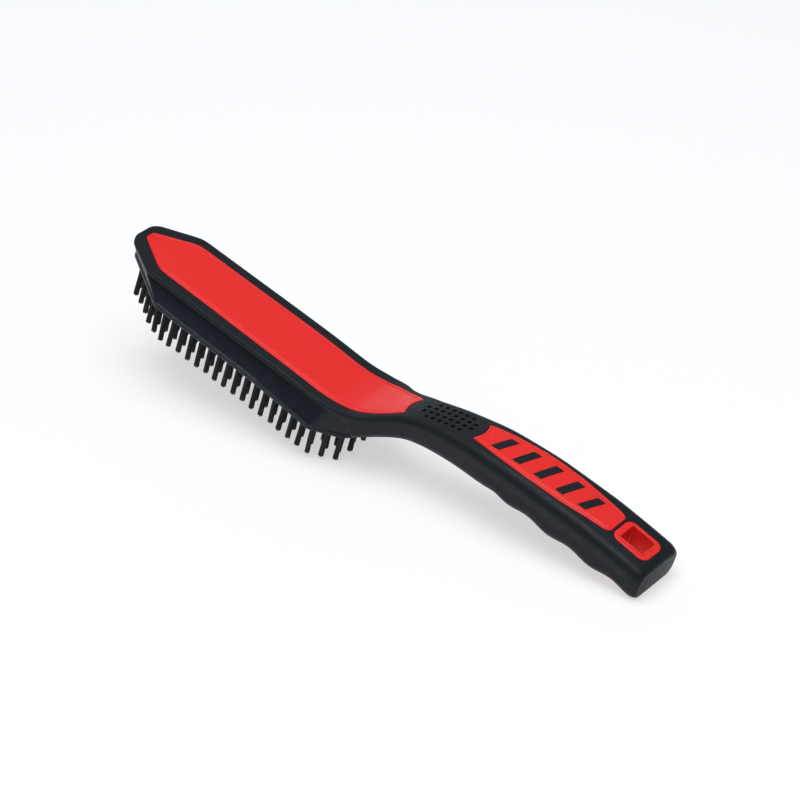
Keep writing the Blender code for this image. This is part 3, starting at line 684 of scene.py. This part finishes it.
points, faces = buildLiner()
makePiece("holeLiner", points, faces, redSatin, ["hang_hole_liner"], 45)

block = {
    "nose": 1.5, "chamferHalfWidth": 7.6, "chamferSlope": 0.593, "noseOverhang": 2,
    "topHalfWidth": 23.8, "lipHalfWidth": 32, "lip": 3.3,
    "cornerX": 170, "rearX": 188, "rearHalfWidth": 20.5, "end": 194, "endHalfWidth": 11,
    "roof": -3.5,
    "cornerRadii": (2.5, 5, 6, 5, 3),  # nose, side corner, rear corner, rear, end
    "straights": (1, 7, 31, 6, 2, 1),  # cuts along each straight, so that the underside can curve along X
    # share of the way from roof to lip, and share of the flare, down the slightly hollow skirt
    "flare": ((0, 0), (0.08, 0.04), (0.25, 0.19), (0.5, 0.44), (0.75, 0.71), (0.93, 0.93)),
    # inset from the outermost line, and height over the lip's top: a rounded edge, a groove, a rounded foot
    "lipProfile": ((0.5, 0), (0.15, -0.08), (0, -0.3), (0, -1.1), (0.35, -1.3), (0.35, -1.55), (0, -1.75), (0, -2.8),
                   (0.12, -3.15), (0.4, -3.3)),
}
blockBottom = smoothLine((0, -14.8), (41, -16.1), (60, -16.7), (113, -16.8), (131, -17.5), (149, -18.7),
                         (171, -20.6), (194, -21.5))


def blockOutline(side, inset, steps=8):
    # Half of the block's outline, nose to end, with each corner rounded by an arc between its two tangents
    narrow = (block["lipHalfWidth"] - side) / block["lipHalfWidth"]
    nose, end = block["nose"] + block["chamferSlope"] * inset, block["end"] - max(inset, 0)
    chamfer = block["chamferHalfWidth"] - inset
    corners = np.array([
        (nose, 0), (nose, chamfer + block["chamferSlope"] * nose),
        ((side - chamfer) / block["chamferSlope"], side),
        (block["cornerX"] + 20 * narrow, side),
        (block["rearX"], block["rearHalfWidth"] * (1 - 0.6 * narrow) - max(inset, 0)),
        (end, block["endHalfWidth"] * (1 - 0.6 * narrow)), (end, 0)], float)
    points = [corners[:1]]
    for i, radius in enumerate(block["cornerRadii"], 1):
        before, here, after = corners[i - 1], corners[i], corners[i + 1]
        a, b = before - here, after - here
        a, b = a / np.linalg.norm(a), b / np.linalg.norm(b)
        half = np.arccos(np.clip(a @ b, -1, 1)) / 2
        reach = min(radius / np.tan(half), 0.45 * np.linalg.norm(before - here), 0.45 * np.linalg.norm(after - here))
        # a quadratic through the two tangent points with the corner as its control point
        t = np.linspace(0, 1, steps)[:, None]
        points.append((1 - t) ** 2 * (here + a * reach) + 2 * t * (1 - t) * here + t**2 * (here + b * reach))
    points.append(corners[-1:])
    joined = np.concatenate(points)
    cuts = np.ones(len(joined) - 1, int)
    cuts[::steps] = block["straights"]
    pieces = [a + (b - a) * np.arange(n)[:, None] / n for a, b, n in zip(joined[:-1], joined[1:], cuts)]
    return np.concatenate(pieces + [joined[-1:]])


def buildBlock():
    # Closed outlines from roof to lip, the side swinging out along the flare, and strips across at both ends
    span = block["lipHalfWidth"] - block["topHalfWidth"]
    levels = [(block["topHalfWidth"] + (span - 0.7) * out, 0.5 - (block["noseOverhang"] + 0.5) * (1 - down), down, 0)
              for down, out in block["flare"]]
    levels += [(block["lipHalfWidth"] - inset, inset, 1, height) for inset, height in block["lipProfile"]]
    rings = []
    for side, inset, down, height in levels:
        half = blockOutline(side, inset)
        low = blockBottom(half[:, 0]) + block["lip"]
        z = block["roof"] + (low - block["roof"]) * down + height
        near = np.stack([half[:, 0], half[:, 1], z], -1)
        rings.append(np.concatenate([near, near[-2:0:-1] * np.array([1, -1, 1])]))
    count, around = len(rings), len(rings[0])
    faces = [gridFaces(count, around, True)]
    middle = np.arange(around // 2)
    mirror = (-np.arange(around // 2 + 1)) % around
    for level, order in ((0, 1), (count - 1, -1)):
        strip = np.stack([middle, middle + 1, mirror[middle + 1], mirror[middle]], -1)[:, ::order] + level * around
        faces.append(strip[1:-1])
        faces += [strip[:1, :][:, [0, 1, 2]] if order > 0 else strip[:1, :][:, [1, 2, 3]],
                  strip[-1:, :][:, [0, 1, 3]] if order > 0 else strip[-1:, :][:, [0, 2, 3]]]
    return np.concatenate(rings), faces


points, faces = buildBlock()
makePiece("brushBlock", points, faces, blockBlack, ["brush_block"], 32)
print("block ready")

tufts = {
    "rows": 24, "first": 7.4, "rowPitch": 7.71, "pitch": 7.4, "sideRoom": 5.2, "chamferRoom": 3.3,
    "stagger": 1.5, "rootWidth": 6.4,  # every other tuft stands this far before its row's line, the rest behind
    "radius": 1.32,  # of the bundle's filament centres
    "filamentRadius": 0.24, "sides": 6, "rings": 3,  # rings of filaments round the middle one
    "flare": 0.1, "lean": 0.022, "wander": 0.12, "uneven": 0.22,  # at the tips
    "bury": 1.5,  # depth in the block
    "trimX": 103, "trimZ": -40.5, "trimNose": 2.5, "trimHeel": 1.6, "trimHeelX": 168,
}


def trimHeight(x):
    # Two parabolas that meet at the shortest tufts
    nose = tufts["trimZ"] - tufts["trimNose"] * ((tufts["trimX"] - x) / (tufts["trimX"] - tufts["first"])) ** 2
    beyond = min(x - tufts["trimX"], tufts["trimHeelX"] - tufts["trimX"]) / (tufts["trimHeelX"] - tufts["trimX"])
    return nose if x < tufts["trimX"] else tufts["trimZ"] - tufts["trimHeel"] * beyond**2


def tuftPlaces(x):
    # Even steps across the block, between its edges beside the row's root strip
    at = x + np.array([-0.5, 0.5]) * tufts["rootWidth"]
    chamfer = block["chamferHalfWidth"] + block["chamferSlope"] * at
    rear = block["lipHalfWidth"] + (block["rearHalfWidth"] - block["lipHalfWidth"]) * (at - block["cornerX"]) / (
        block["rearX"] - block["cornerX"])
    room = min(chamfer.min(), block["lipHalfWidth"], rear.min()) - tufts["chamferRoom"]
    reach = min(block["lipHalfWidth"] - tufts["sideRoom"], room)
    return np.linspace(-reach, reach, round(2 * reach / tufts["pitch"]) + 1)


def bundleOffsets():
    # Hexagonal rings: ring r has 6r filaments
    spots = [(0.0, 0.0)]
    for r in range(1, tufts["rings"] + 1):
        a = np.arange(6 * r) * 2 * np.pi / (6 * r)
        spots += list(zip(r / tufts["rings"] * np.cos(a), r / tufts["rings"] * np.sin(a)))
    return np.array(spots) * tufts["radius"]


def buildRow(x, random):
    # Every filament is a thin six-sided column with three stations down its length. It leaves the block in its
    # tuft's bundle, leans and wanders a little as the square of the way down, and ends on the trim line.
    places = tuftPlaces(x)
    offsets = bundleOffsets()
    tuftCount, perTuft = len(places), len(offsets)
    spin = random.uniform(0, 2 * np.pi, tuftCount)[:, None]
    ox = offsets[:, 0] * np.cos(spin) - offsets[:, 1] * np.sin(spin)
    oy = offsets[:, 0] * np.sin(spin) + offsets[:, 1] * np.cos(spin)
    root = float(blockBottom(x)) + tufts["bury"]
    tip = trimHeight(x)
    length = root - tip
    lean = random.uniform(-tufts["lean"], tufts["lean"], (2, tuftCount, 1)) * length
    wander = random.normal(0, tufts["wander"], (2, tuftCount, perTuft))
    short = np.abs(random.normal(0, tufts["uneven"], (tuftCount, perTuft)))
    t = np.array([0, 0.5, 1])[:, None, None]
    grow = 1 + tufts["flare"] * t
    line = x + tufts["stagger"] * (1 - 2 * (np.arange(tuftCount) % 2))[:, None]
    cx = line + ox * grow + (lean[0] + wander[0]) * t**2
    cy = places[:, None] + oy * grow + (lean[1] + wander[1]) * t**2
    cz = root + (tip + short - root) * t
    angle = np.arange(tufts["sides"]) * 2 * np.pi / tufts["sides"]
    r = tufts["filamentRadius"]
    ring = np.stack([cx[..., None] + r * np.cos(angle), cy[..., None] + r * np.sin(angle),
                     np.repeat(cz[..., None], len(angle), -1)], -1)
    ring = ring.transpose(1, 2, 0, 3, 4)  # tuft, filament, station, corner, xyz
    total, sides = tuftCount * perTuft, tufts["sides"]
    one = gridFaces(3, sides, True)
    start = (np.arange(total) * 3 * sides)[:, None, None]
    columns = (one[None] + start).reshape(-1, 4)
    ends = np.stack([np.arange(sides)[::-1], 2 * sides + np.arange(sides)])
    return ring.reshape(-1, 3), [columns, (ends[None] + start).reshape(-1, sides)]


random = np.random.default_rng(7)
for i in range(tufts["rows"]):
    points, faces = buildRow(tufts["first"] + tufts["rowPitch"] * i, random)
    makePiece(f"bristleRow{i + 1:02d}", points, faces, bristleNylon, [f"bristle_row_{i + 1:02d}"], 50)
print("bristles ready")

studio = {
    "floor": "#AEAEAE", "floorGlow": 0.57, "floorSize": 12,  # a lit white table: it glows as well as reflects
    "world": "#CCD8EA", "worldStrength": 0.32,
    # name, place in metres, size in metres, power in watts, colour; each faces the brush
    "lights": (
        ("overhead", (0.25, -0.3, 2.3), (2.0, 2.0), 52, "#FFFFFF"),
        ("backLeft", (-2.0, 1.7, 0.8), (2.6, 1.2), 8, "#F2F6FF"),
    ),
    "aim": (0, 0, 0.04),
    "cameraPlace": (0.90764, -1.1467, 1.00434), "cameraTurn": (56.7466, -0.8271, 38.5822), "lens": 131.3,
}


def buildStudio():
    floor = bpy.data.meshes.new("studioFloor")
    s = studio["floorSize"] / 2
    floor.from_pydata([(-s, -s, 0), (s, -s, 0), (s, s, 0), (-s, s, 0)], [], [(0, 1, 2, 3)])
    paper = bpy.data.materials.new("matte_studio_paper")
    paper.use_nodes = True
    paper.node_tree.nodes["Principled BSDF"].inputs["Base Color"].default_value = linear(studio["floor"])
    paper.node_tree.nodes["Principled BSDF"].inputs["Roughness"].default_value = 0.9
    paper.node_tree.nodes["Principled BSDF"].inputs["Emission Color"].default_value = (1, 1, 1, 1)
    paper.node_tree.nodes["Principled BSDF"].inputs["Emission Strength"].default_value = studio["floorGlow"]
    floor.materials.append(paper)
    ground = bpy.data.objects.new("studioFloor", floor)
    bpy.context.scene.collection.objects.link(ground)

    world = bpy.data.worlds.new("studioWorld")
    world.use_nodes = True
    world.node_tree.nodes["Background"].inputs["Color"].default_value = linear(studio["world"])
    world.node_tree.nodes["Background"].inputs["Strength"].default_value = studio["worldStrength"]
    bpy.context.scene.world = world

    for name, place, size, power, colour in studio["lights"]:
        light = bpy.data.lights.new(name, "AREA")
        light.shape = "RECTANGLE"
        light.size, light.size_y = size
        light.energy = power
        light.color = linear(colour)[:3]
        lamp = bpy.data.objects.new(name, light)
        bpy.context.scene.collection.objects.link(lamp)
        lamp.location = place
        lamp.rotation_euler = (lamp.location - type(lamp.location)(studio["aim"])).to_track_quat("Z", "Y").to_euler()

    lens = bpy.data.cameras.new("studioCamera")
    lens.lens = studio["lens"]
    camera = bpy.data.objects.new("studioCamera", lens)
    bpy.context.scene.collection.objects.link(camera)
    camera.location = studio["cameraPlace"]
    camera.rotation_euler = [math.radians(a) for a in studio["cameraTurn"]]
    bpy.context.scene.camera = camera


buildStudio()
bpy.context.scene.view_settings.view_transform = "Standard"
print("studio ready")
